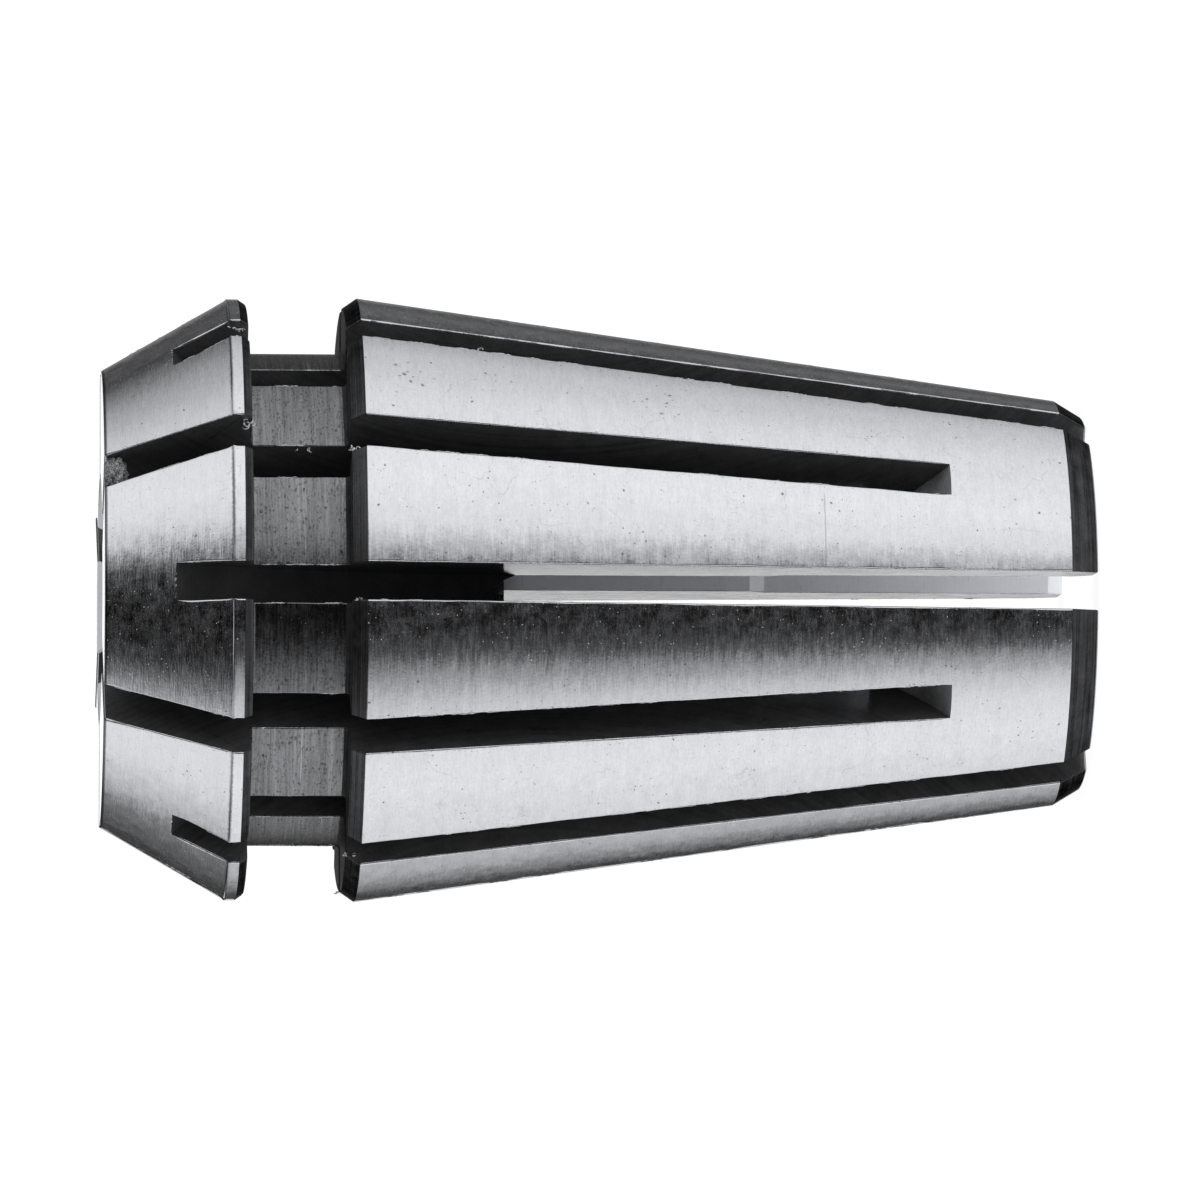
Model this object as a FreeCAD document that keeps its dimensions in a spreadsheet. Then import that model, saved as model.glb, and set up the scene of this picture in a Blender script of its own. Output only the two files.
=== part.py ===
import FreeCAD, Part
import math
import os
import Sketcher

# Spring collet of the 8 degree double-taper kind, standing on its small end.
# The turning axis is Z, the small end lies on Z = 0 and the nose points up.
# All sizes are in millimetres and all angles in degrees.

os.makedirs("parts", exist_ok=True)

doc = FreeCAD.newDocument("collet_build")

# ---------------------------------------------------------------- dimensions
DIMS = [
    # overall
    ("total_length", 27.5, "small end to nose face"),
    ("nose_face_radius", 6.38, "nose face, measured on the 30 degree cone line"),
    ("nose_taper_angle", 30.0, "half angle of the short nose cone"),
    ("nose_break", 0.08, "edge break on the nose rim"),
    # flange between the nose cone and the extraction groove
    ("flange_depth", 4.02, "nose face to the front wall of the groove"),
    ("land_start", 3.48, "nose face to the front of the flange land"),
    ("land_radius", 8.41, "narrow cylindrical land of the flange"),
    ("land_line_depth", 0.04, "step where the nose cone meets the land"),
    ("flange_rear_rim_radius", 8.26, "rim on the groove side of the flange"),
    ("flange_rear_chamfer", 0.22, "length of the chamfer behind the land"),
    # extraction groove
    ("groove_width", 2.70, "width of the extraction groove"),
    ("groove_radius", 6.89, "bottom of the extraction groove"),
    ("groove_corner", 0.10, "root radius in the corners of the groove"),
    # long rear cone
    ("shoulder_depth", 7.144, "nose face to the large end of the rear cone"),
    ("shoulder_radius", 8.454, "large end of the rear cone"),
    ("shoulder_rim_radius", 8.16, "rim on the groove side of the shoulder"),
    ("rear_taper_angle", 8.0, "half angle of the long rear cone"),
    ("tail_chamfer_length", 0.76, "axial length of the chamfer at the small end"),
    ("tail_face_radius", 5.24, "outer rim of the small end face"),
    # bore
    ("bore_radius", 3.175, "clamping bore"),
    ("bore_nose_chamfer", 0.35, "lead-in chamfer at the nose"),
    ("bore_tail_chamfer", 0.45, "lead-in chamfer at the small end"),
    ("relief_radius", 3.60, "clearance bore behind the clamping length"),
    ("relief_depth", 9.0, "small end to the rear end of the clamping length"),
    # slots
    ("slot_width", 1.03, "width of every slot"),
    ("slots_per_end", 6, "slots that open at each end"),
    ("tail_slot_bottom", 3.12, "distance of the tail slot floor from the axis"),
    ("tail_saw_radius", 14.0, "run-out radius of the tail slots"),
    ("tail_slot_centre", 12.07, "nose face to the centre of the tail run-out"),
    ("nose_slot_bottom", 1.0, "distance of the nose slot floor from the axis"),
    ("nose_saw_radius", 10.0, "run-out radius of the nose slots"),
    ("nose_slot_centre", 12.86, "small end to the centre of the nose run-out"),
    # clearance of the cutting profiles outside the metal
    ("outside_radius", 9.2, "outer limit of the slot profiles"),
    ("overrun", 0.5, "overrun of the cutting profiles past the faces"),
]

sheet = doc.addObject("Spreadsheet::Sheet", "dims")
VAL = {}
for row, (alias, value, note) in enumerate(DIMS, start=1):
    sheet.set("A%d" % row, note)
    sheet.set("B%d" % row, str(value))
    sheet.setAlias("B%d" % row, alias)
    VAL[alias] = float(value)
doc.recompute()

body = doc.addObject("PartDesign::Body", "collet")
body.Label = "collet"


def origin(role):
    for feat in body.Origin.OriginFeatures:
        if feat.Role == role:
            return feat
    raise RuntimeError("origin feature %s is missing" % role)


def new_sketch(name, plane):
    sk = body.newObject("Sketcher::SketchObject", name)
    sk.AttachmentSupport = [(origin(plane), "")]
    sk.MapMode = "FlatFace"
    return sk


def evaluate(expr):
    # the starting value of a size, worked out from the same cell values
    env = expr
    for alias in sorted(VAL, key=len, reverse=True):
        env = env.replace("dims." + alias, "(%r)" % VAL[alias])
    total = 0.0
    total = calc(env)
    return total


def calc(text):
    # plain sum, difference, product, tangent and square root of numbers
    pos = [0]

    def skip():
        while pos[0] < len(text) and text[pos[0]] == " ":
            pos[0] += 1

    def atom():
        skip()
        if text[pos[0]] == "(":
            pos[0] += 1
            v = total()
            skip()
            pos[0] += 1
            return v
        if text.startswith("tan", pos[0]):
            pos[0] += 3
            return math.tan(math.radians(atom()))
        if text.startswith("sqrt", pos[0]):
            pos[0] += 4
            return math.sqrt(atom())
        start = pos[0]
        if text[pos[0]] in "+-":
            pos[0] += 1
        while pos[0] < len(text) and (text[pos[0]].isdigit() or text[pos[0]] in ".e"):
            pos[0] += 1
        return float(text[start:pos[0]])

    def product():
        v = atom()
        while True:
            skip()
            if pos[0] < len(text) and text[pos[0]] in "*/":
                op = text[pos[0]]
                pos[0] += 1
                w = atom()
                v = v * w if op == "*" else v / w
            else:
                return v

    def total():
        v = product()
        while True:
            skip()
            if pos[0] < len(text) and text[pos[0]] in "+-":
                op = text[pos[0]]
                pos[0] += 1
                w = product()
                v = v + w if op == "+" else v - w
            else:
                return v

    return total()


def bind(sk, kind, args, name, expr):
    value = evaluate(expr)
    sk.addConstraint(Sketcher.Constraint(kind, *args, value))
    index = sk.ConstraintCount - 1
    sk.renameConstraint(index, name)
    sk.setExpression("Constraints." + name, expr)


def place(sk, geo, vertex, name, rexpr, zexpr):
    # fixes one vertex: radius from the axis, height from the small end
    if rexpr == "axis":
        sk.addConstraint(Sketcher.Constraint("PointOnObject", geo, vertex, -2))
    else:
        bind(sk, "DistanceX", (-1, 1, geo, vertex), name + "_r", rexpr)
    if zexpr == "base":
        sk.addConstraint(Sketcher.Constraint("PointOnObject", geo, vertex, -1))
    elif zexpr.startswith("below "):
        bind(sk, "DistanceY", (geo, vertex, -1, 1), name + "_z", zexpr[6:])
    else:
        bind(sk, "DistanceY", (-1, 1, geo, vertex), name + "_z", zexpr)


def coords(rexpr, zexpr):
    r = 0.0 if rexpr == "axis" else evaluate(rexpr)
    if zexpr == "base":
        z = 0.0
    elif zexpr.startswith("below "):
        z = -evaluate(zexpr[6:])
    else:
        z = evaluate(zexpr)
    return FreeCAD.Vector(r, z, 0)


def polygon(sk, pts):
    # closed profile, one line per corner, every corner placed by the table
    vec = [coords(r, z) for _, r, z in pts]
    n = len(vec)
    for i in range(n):
        sk.addGeometry(Part.LineSegment(vec[i], vec[(i + 1) % n]), False)
    for i in range(n):
        sk.addConstraint(Sketcher.Constraint("Coincident", i, 2, (i + 1) % n, 1))
    for i, (name, r, z) in enumerate(pts):
        place(sk, i, 1, name, r, z)


def polar(name, feature):
    pat = body.newObject("PartDesign::PolarPattern", name)
    pat.Originals = [feature]
    pat.Axis = (origin("Z_Axis"), [""])
    pat.Angle = 360.0
    pat.Occurrences = int(VAL["slots_per_end"])
    pat.setExpression("Occurrences", "dims.slots_per_end")
    body.Tip = pat
    return pat


# ------------------------------------------------------- turned outer shape
# small end face, end chamfer, long rear cone, flange and nose cone
outer = new_sketch("outer_profile", "XZ_Plane")
polygon(outer, [
    ("tail_axis", "axis", "base"),
    ("tail_rim", "dims.tail_face_radius", "base"),
    ("tail_chamfer_end",
     "dims.shoulder_radius - (dims.total_length - dims.shoulder_depth - dims.tail_chamfer_length) * tan(dims.rear_taper_angle)",
     "dims.tail_chamfer_length"),
    ("shoulder", "dims.shoulder_radius", "dims.total_length - dims.shoulder_depth"),
    ("shoulder_rim", "dims.shoulder_rim_radius",
     "dims.total_length - dims.flange_depth - dims.groove_width"),
    ("flange_rim", "dims.flange_rear_rim_radius", "dims.total_length - dims.flange_depth"),
    ("land_rear", "dims.land_radius",
     "dims.total_length - dims.flange_depth + dims.flange_rear_chamfer"),
    ("land_front", "dims.land_radius", "dims.total_length - dims.land_start"),
    ("cone_large", "dims.land_radius - dims.land_line_depth",
     "dims.total_length - dims.land_start + 0.02"),
    ("nose_rim_low",
     "dims.nose_face_radius + dims.nose_break * tan(dims.nose_taper_angle)",
     "dims.total_length - dims.nose_break"),
    ("nose_rim_high", "dims.nose_face_radius - dims.nose_break * 0.6", "dims.total_length"),
    ("nose_axis", "axis", "dims.total_length"),
])
doc.recompute()

turned = body.newObject("PartDesign::Revolution", "turned_blank")
turned.Profile = outer
turned.ReferenceAxis = (outer, ["V_Axis"])
turned.Angle = 360.0
doc.recompute()

# --------------------------------------------------------- extraction groove
groove_sk = new_sketch("groove_profile", "XZ_Plane")
z_low = "dims.total_length - dims.flange_depth - dims.groove_width"
z_high = "dims.total_length - dims.flange_depth"
polygon(groove_sk, [
    ("out_low", "dims.outside_radius", z_low),
    ("out_high", "dims.outside_radius", z_high),
    ("wall_high", "dims.groove_radius + dims.groove_corner", z_high),
    ("root_high", "dims.groove_radius", z_high + " - dims.groove_corner"),
    ("root_low", "dims.groove_radius", z_low + " + dims.groove_corner"),
    ("wall_low", "dims.groove_radius + dims.groove_corner", z_low),
])
doc.recompute()
ring = body.newObject("PartDesign::Groove", "extraction_groove")
ring.Profile = groove_sk
ring.ReferenceAxis = (groove_sk, ["V_Axis"])
ring.Angle = 360.0
doc.recompute()

# ------------------------------------ clamping bore and the relief behind it
bore_sk = new_sketch("bore_profile", "XZ_Plane")
polygon(bore_sk, [
    ("low_axis", "axis", "below dims.overrun"),
    ("low_out", "dims.relief_radius + dims.bore_tail_chamfer + dims.overrun", "below dims.overrun"),
    ("low_end", "dims.relief_radius", "dims.bore_tail_chamfer"),
    ("relief_end", "dims.relief_radius",
     "dims.relief_depth - dims.relief_radius + dims.bore_radius"),
    ("grip_start", "dims.bore_radius", "dims.relief_depth"),
    ("high_end", "dims.bore_radius", "dims.total_length - dims.bore_nose_chamfer"),
    ("high_out", "dims.bore_radius + dims.bore_nose_chamfer + dims.overrun",
     "dims.total_length + dims.overrun"),
    ("high_axis", "axis", "dims.total_length + dims.overrun"),
])
doc.recompute()
bore = body.newObject("PartDesign::Groove", "clamping_bore")
bore.Profile = bore_sk
bore.ReferenceAxis = (bore_sk, ["V_Axis"])
bore.Angle = 360.0
doc.recompute()


# --------------------------------------------------------------------- slots
def slot_profile(name, plane, floor, saw, centre_z, mouth_z, towards_nose):
    # floor parallel to the axis, run-out arc, and an open mouth past one end
    sk = new_sketch(name, plane)
    r0 = evaluate(floor)
    rho = evaluate(saw)
    rc = r0 + rho
    zc = evaluate(centre_z)
    ro = VAL["outside_radius"]
    rise = math.sqrt(rho ** 2 - (rc - ro) ** 2)
    mouth = coords("axis", mouth_z).y
    zb = zc + rise if towards_nose else zc - rise
    sk.addGeometry(Part.LineSegment(FreeCAD.Vector(r0, zc, 0), FreeCAD.Vector(r0, mouth, 0)), False)
    sk.addGeometry(Part.LineSegment(FreeCAD.Vector(r0, mouth, 0), FreeCAD.Vector(ro, mouth, 0)), False)
    sk.addGeometry(Part.LineSegment(FreeCAD.Vector(ro, mouth, 0), FreeCAD.Vector(ro, zb, 0)), False)
    circle = Part.Circle(FreeCAD.Vector(rc, zc, 0), FreeCAD.Vector(0, 0, 1), rho)
    turn = math.atan2(rise, ro - rc)
    if towards_nose:
        sk.addGeometry(Part.ArcOfCircle(circle, turn, math.pi), False)
        arc_out, arc_in = 1, 2
    else:
        sk.addGeometry(Part.ArcOfCircle(circle, math.pi, 2 * math.pi - turn), False)
        arc_out, arc_in = 2, 1
    C = Sketcher.Constraint
    sk.addConstraint(C("Coincident", 0, 2, 1, 1))
    sk.addConstraint(C("Coincident", 1, 2, 2, 1))
    sk.addConstraint(C("Coincident", 2, 2, 3, arc_out))
    sk.addConstraint(C("Tangent", 3, arc_in, 0, 1))
    sk.addConstraint(C("Vertical", 0))
    sk.addConstraint(C("Horizontal", 1))
    sk.addConstraint(C("Vertical", 2))
    bind(sk, "DistanceY", (-1, 1, 3, 3), "run_out_z", centre_z)
    bind(sk, "Radius", (3,), "run_out_radius", saw)
    bind(sk, "DistanceX", (-1, 1, 0, 2), "floor_r", floor)
    bind(sk, "DistanceX", (-1, 1, 1, 2), "outside_r", "dims.outside_radius")
    if mouth_z.startswith("below "):
        bind(sk, "DistanceY", (1, 1, -1, 1), "mouth_z", mouth_z[6:])
    else:
        bind(sk, "DistanceY", (-1, 1, 1, 1), "mouth_z", mouth_z)
    return sk


def slot(name, sk):
    cut = body.newObject("PartDesign::Pocket", name)
    cut.Profile = sk
    cut.Type = "Length"
    cut.Midplane = True
    cut.Length = VAL["slot_width"]
    cut.setExpression("Length", "dims.slot_width")
    doc.recompute()
    return cut


# six slots that open at the small end and run out in the nose cone
tail_sk = slot_profile("tail_slot_profile", "YZ_Plane", "dims.tail_slot_bottom",
                       "dims.tail_saw_radius", "dims.total_length - dims.tail_slot_centre",
                       "below dims.overrun", True)
doc.recompute()
tail_slot = slot("tail_slot", tail_sk)
tail_slots = polar("tail_slots", tail_slot)
doc.recompute()

# six slots that open at the nose and run out near the small end
nose_sk = slot_profile("nose_slot_profile", "XZ_Plane", "dims.nose_slot_bottom",
                       "dims.nose_saw_radius", "dims.nose_slot_centre",
                       "dims.total_length + dims.overrun", False)
doc.recompute()
nose_slot = slot("nose_slot", nose_sk)
nose_slots = polar("nose_slots", nose_slot)
doc.recompute()

# ------------------------------------------------------------- health checks
for obj in doc.Objects:
    state = [str(s) for s in obj.State]
    if "Invalid" in state or "Error" in state:
        raise RuntimeError("%s is in state %s" % (obj.Name, state))
    if hasattr(obj, "Shape") and obj.isDerivedFrom("PartDesign::Feature"):
        if obj.Shape.isNull() or not obj.Shape.isValid():
            raise RuntimeError("%s has no valid shape" % obj.Name)

shape = body.Shape
if shape.isNull() or not shape.isValid() or len(shape.Solids) != 1:
    raise RuntimeError("the collet is not one valid solid")

shape.exportStep("parts/collet.step")
print("solids", len(shape.Solids), "faces", len(shape.Faces), "volume", round(shape.Volume, 2))
print("box", shape.BoundBox)
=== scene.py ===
import bpy
import math
import random
import bmesh
from mathutils import Vector, Matrix, noise as mnoise


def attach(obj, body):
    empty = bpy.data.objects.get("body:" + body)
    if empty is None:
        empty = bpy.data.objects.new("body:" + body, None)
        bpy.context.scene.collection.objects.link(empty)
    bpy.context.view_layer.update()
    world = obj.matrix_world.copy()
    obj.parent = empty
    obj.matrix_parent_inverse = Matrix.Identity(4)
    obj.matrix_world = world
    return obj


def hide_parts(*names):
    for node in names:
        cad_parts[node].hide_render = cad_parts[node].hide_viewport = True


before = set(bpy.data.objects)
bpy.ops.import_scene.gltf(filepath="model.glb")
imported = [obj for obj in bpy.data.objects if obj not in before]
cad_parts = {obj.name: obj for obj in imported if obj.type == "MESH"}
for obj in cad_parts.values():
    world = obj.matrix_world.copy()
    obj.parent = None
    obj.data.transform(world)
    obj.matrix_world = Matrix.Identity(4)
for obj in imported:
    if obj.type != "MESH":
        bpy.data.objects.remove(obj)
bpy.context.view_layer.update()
random.seed(7)

MM = 0.001
scene = bpy.context.scene

# --------------------------------------------------------------------------
# Sizes of the collet in millimetres, the same as in the CAD model.
# Z is the turning axis, the small end is on Z = 0 and the nose points up.
# --------------------------------------------------------------------------
L = 27.5
HALF = 0.515                       # half the slot width
SH_R, SH_Z = 8.454, L - 7.144      # shoulder: large end of the long cone
TC_L = 0.76                        # end chamfer at the small end
TC_R = SH_R - (SH_Z - TC_L) * math.tan(math.radians(8.0))
TF_R = 5.24
FL_Z = L - 4.02                    # groove side of the flange
GW_Z = FL_Z - 2.70                 # shoulder side of the groove
GR_R = 6.89
T30 = math.tan(math.radians(30.0))

# slot run-outs: floor distance, saw radius, centre height
TS_F, TS_R, TS_Z = 3.12, 14.0, L - 12.07
NS_F, NS_R, NS_Z = 1.0, 10.0, 12.86


def tail_floor(z):
    """Distance of the tail slot's floor from the axis at height z."""
    if z <= TS_Z:
        return TS_F
    q = TS_R ** 2 - (z - TS_Z) ** 2
    return TS_F + TS_R - math.sqrt(q) if q > 0 else 1e3


def nose_floor(z):
    if z >= NS_Z:
        return NS_F
    q = NS_R ** 2 - (NS_Z - z) ** 2
    return NS_F + NS_R - math.sqrt(q) if q > 0 else 1e3


# --------------------------------------------------------------------------
# Profile: a closed loop of corners (r, z, rounding, kind of the run after it)
# kinds: 0 ground, 1 faced, 2 slot wall, 3 bore, 4 groove bottom,
# 5 turned chamfer, 6 floor where a nose slot runs out, painted light, 7 nose face,
# 8 groove side, 9 floor where a tail slot runs out, painted shade
# --------------------------------------------------------------------------
CORNERS = [
    (4.05, 0.0, 0.05, 1),
    (TF_R, 0.0, 0.07, 5),
    (TC_R, TC_L, 0.06, 0),
    (SH_R, SH_Z, 0.04, 5),
    (8.16, GW_Z, 0.07, 8),
    (GR_R, GW_Z, 0.12, 4),
    (GR_R, FL_Z, 0.12, 8),
    (8.26, FL_Z, 0.06, 5),
    (8.41, FL_Z + 0.22, 0.03, 0),
    (8.41, L - 3.48, 0.012, 0),
    (8.37, L - 3.46, 0.006, 0),
    (6.38, L, 0.06, 7),
    (3.525, L, 0.05, 3),
    (3.175, L - 0.35, 0.06, 3),
    (3.175, 9.0, 0.05, 3),
    (3.60, 8.575, 0.05, 3),
    (3.60, 0.45, 0.05, 3),
]


def rounded_profile(corners, seg=4):
    """List of (r, z, nr, nz, kind) round the loop, normals out of the metal."""
    n = len(corners)
    out = []
    for i in range(n):
        r, z, rad, kind = corners[i]
        pr, pz = corners[i - 1][0], corners[i - 1][1]
        nr_, nz_ = corners[(i + 1) % n][0], corners[(i + 1) % n][1]
        a = Vector((r - pr, z - pz)).normalized()
        b = Vector((nr_ - r, nz_ - z)).normalized()
        # going out along the small end and up, the metal is on the left
        na, nb = Vector((a.y, -a.x)), Vector((b.y, -b.x))
        turn = math.atan2(a.x * b.y - a.y * b.x, a.dot(b))
        if abs(turn) < 1e-4:
            out.append((r, z, na.x, na.y, kind))
            continue
        t = rad * math.tan(abs(turn) / 2)
        sign = 1.0 if turn > 0 else -1.0
        start = Vector((r, z)) - a * t
        centre = start - na * rad * sign
        prev_kind = corners[i - 1][3]
        for k in range(seg + 1):
            f = k / seg
            ang = turn * f
            v = Vector((na.x * math.cos(ang) - na.y * math.sin(ang),
                        na.x * math.sin(ang) + na.y * math.cos(ang)))
            p = centre + v * rad * sign
            out.append((p.x, p.y, v.x, v.y, kind if k == seg else prev_kind))
    return out


def r_on_outer(z):
    """Outer radius on the two long cones, without the roundings."""
    if z < SH_Z:
        return TC_R + (z - TC_L) * math.tan(math.radians(8.0))
    return 8.37 - (z - (L - 3.46)) * (8.37 - 6.38) / 3.46


def solve(fun, lo, hi):
    flo = fun(lo)
    for _ in range(60):
        mid = (lo + hi) / 2
        fm = fun(mid)
        if (fm > 0) == (flo > 0):
            lo, flo = mid, fm
        else:
            hi = mid
    return (lo + hi) / 2


def end_tail_outer(s):
    return solve(lambda z: math.sqrt(r_on_outer(z) ** 2 - s * s) - tail_floor(z), L - 3.3, L - 0.4)


def end_tail_bore(s):
    return solve(lambda z: math.sqrt(3.175 ** 2 - s * s) - tail_floor(z), TS_Z, TS_Z + 3)


def end_nose_outer(s):
    return solve(lambda z: math.sqrt(r_on_outer(z) ** 2 - s * s) - nose_floor(z), 3.2, 9.0)


def end_nose_bore(s):
    # the run-out meets the relief bore or the clamping bore
    def bore_r(z):
        if z >= 9.0:
            return 3.175
        if z <= 8.575:
            return 3.60
        return 3.175 + (9.0 - z)
    return solve(lambda z: math.sqrt(bore_r(z) ** 2 - s * s) - nose_floor(z), 3.2, NS_Z)


S_STEPS = 3
S_LIST = [HALF * j / S_STEPS for j in range(S_STEPS + 1)]
ZT_OUT = [end_tail_outer(s) for s in S_LIST]
ZT_BORE = [end_tail_bore(s) for s in S_LIST]
ZN_OUT = [end_nose_outer(s) for s in S_LIST]
ZN_BORE = [end_nose_bore(s) for s in S_LIST]

prof = rounded_profile(CORNERS)


def split_rows(prof):
    """Adds rows along the straight runs, and at the heights where slots end."""
    special_out = [ZT_OUT[-1], max(ZT_OUT[0], ZT_OUT[-1]) + 0.05, min(ZN_OUT) - 0.05, ZN_OUT[-1]]
    special_bore = [ZT_BORE[-1], max(ZT_BORE) + 0.05, min(ZN_BORE) - 0.05, ZN_BORE[-1]]
    rows = []
    n = len(prof)
    for i in range(n):
        a, b = prof[i], prof[(i + 1) % n]
        rows.append(a)
        length = math.hypot(b[0] - a[0], b[1] - a[1])
        is_bore = a[4] == 3
        step = 0.14 if a[4] == 0 else (0.5 if is_bore else 0.3)
        count = max(1, int(math.ceil(length / step)))
        ts = [k / count for k in range(1, count)]
        if abs(b[1] - a[1]) > 0.3:
            for z in (special_bore if is_bore else special_out):
                t = (z - a[1]) / (b[1] - a[1])
                if 1e-4 < t < 1 - 1e-4:
                    ts = [x for x in ts if abs(x - t) * length > 0.02]
                    ts.append(t)
        for t in sorted(ts):
            rows.append((a[0] + (b[0] - a[0]) * t, a[1] + (b[1] - a[1]) * t,
                         a[2] + (b[2] - a[2]) * t, a[3] + (b[3] - a[3]) * t, a[4]))
    return rows


ROWS = split_rows(prof)
NR = len(ROWS)


def lip_noise(z, seed):
    v = 0.0
    for k, (f, a) in enumerate(((1.3, 0.5), (3.7, 0.3), (9.1, 0.2))):
        v += a * math.sin(z * f + seed * (1.7 + k) + 2.1 * k)
    return v


def in_tail(i):
    r, z = ROWS[i][0], ROWS[i][1]
    if ROWS[i][4] == 3 and z < L - 0.5 and z > 0.5:
        return z <= ZT_BORE[-1] + 1e-6
    return z <= ZT_OUT[-1] + 1e-6


def in_nose(i):
    r, z = ROWS[i][0], ROWS[i][1]
    if ROWS[i][4] == 3 and z < L - 0.5 and z > 0.5:
        return z >= ZN_BORE[-1] - 1e-6
    return z >= ZN_OUT[-1] - 1e-6


def lip(i, which, seed):
    """Size of the rounding on a slot's lip, zero where the slot runs out."""
    r, z, _, _, kind = ROWS[i]
    bore = kind == 3 and 0.5 < z < L - 0.5
    if which == 0:
        end = ZT_BORE[-1] if bore else ZT_OUT[-1]
        dist = end - z
    else:
        end = ZN_BORE[-1] if bore else ZN_OUT[-1]
        dist = z - end
    if dist <= 0:
        return 0.0
    f = min(1.0, dist / 0.35)
    f = f * f * (3 - 2 * f)
    e = 0.046 * (1.0 + 0.45 * lip_noise(z, seed))
    if abs(z - (L - 3.47)) < 0.06 and r > 8:
        e = 0.006
    return e * f


class Builder:
    def __init__(self):
        self.verts = []
        self.index = {}
        self.faces = []
        self.kinds = []
        self.normals = []

    def vid(self, p):
        """The vertex at a point, shared with any one within 20 nanometres."""
        key = (round(p[0] * 2e4), round(p[1] * 2e4), round(p[2] * 2e4))
        found = self.index.get(key)
        if found is not None:
            return found
        for dx in (-1, 0, 1):
            for dy in (-1, 0, 1):
                for dz in (-1, 0, 1):
                    near = self.index.get((key[0] + dx, key[1] + dy, key[2] + dz))
                    if near is not None:
                        q = self.verts[near]
                        if max(abs(q[0] - p[0]), abs(q[1] - p[1]), abs(q[2] - p[2])) < 2e-5:
                            self.index[key] = near
                            return near
        self.index[key] = len(self.verts)
        self.verts.append(tuple(p))
        return self.index[key]

    def face(self, pts, nrm, kind):
        ids = [self.vid(p) for p in pts]
        keep_i, keep_n = [], []
        for k, i in enumerate(ids):
            if not keep_i or (i != keep_i[-1]):
                keep_i.append(i)
                keep_n.append(nrm[k])
        if len(keep_i) > 1 and keep_i[0] == keep_i[-1]:
            keep_i.pop()
            keep_n.pop()
        if len(set(keep_i)) < 3 or len(set(keep_i)) != len(keep_i):
            return
        self.faces.append(keep_i)
        self.kinds.append(kind)
        self.normals.append(keep_n)


def local(which, lat, d, z):
    """Point from slot coordinates; lat is positive into the wedge.

    which 0 is the tail slot at angle 0, which 1 the nose slot at 30 degrees.
    """
    if which == 0:
        return Vector((d, lat, z))
    a = math.radians(30.0)
    ur = Vector((math.cos(a), math.sin(a), 0))
    ul = Vector((math.sin(a), -math.cos(a), 0))
    return ur * d + ul * lat + Vector((0, 0, z))


COLS = 14
BEV = 3


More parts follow.
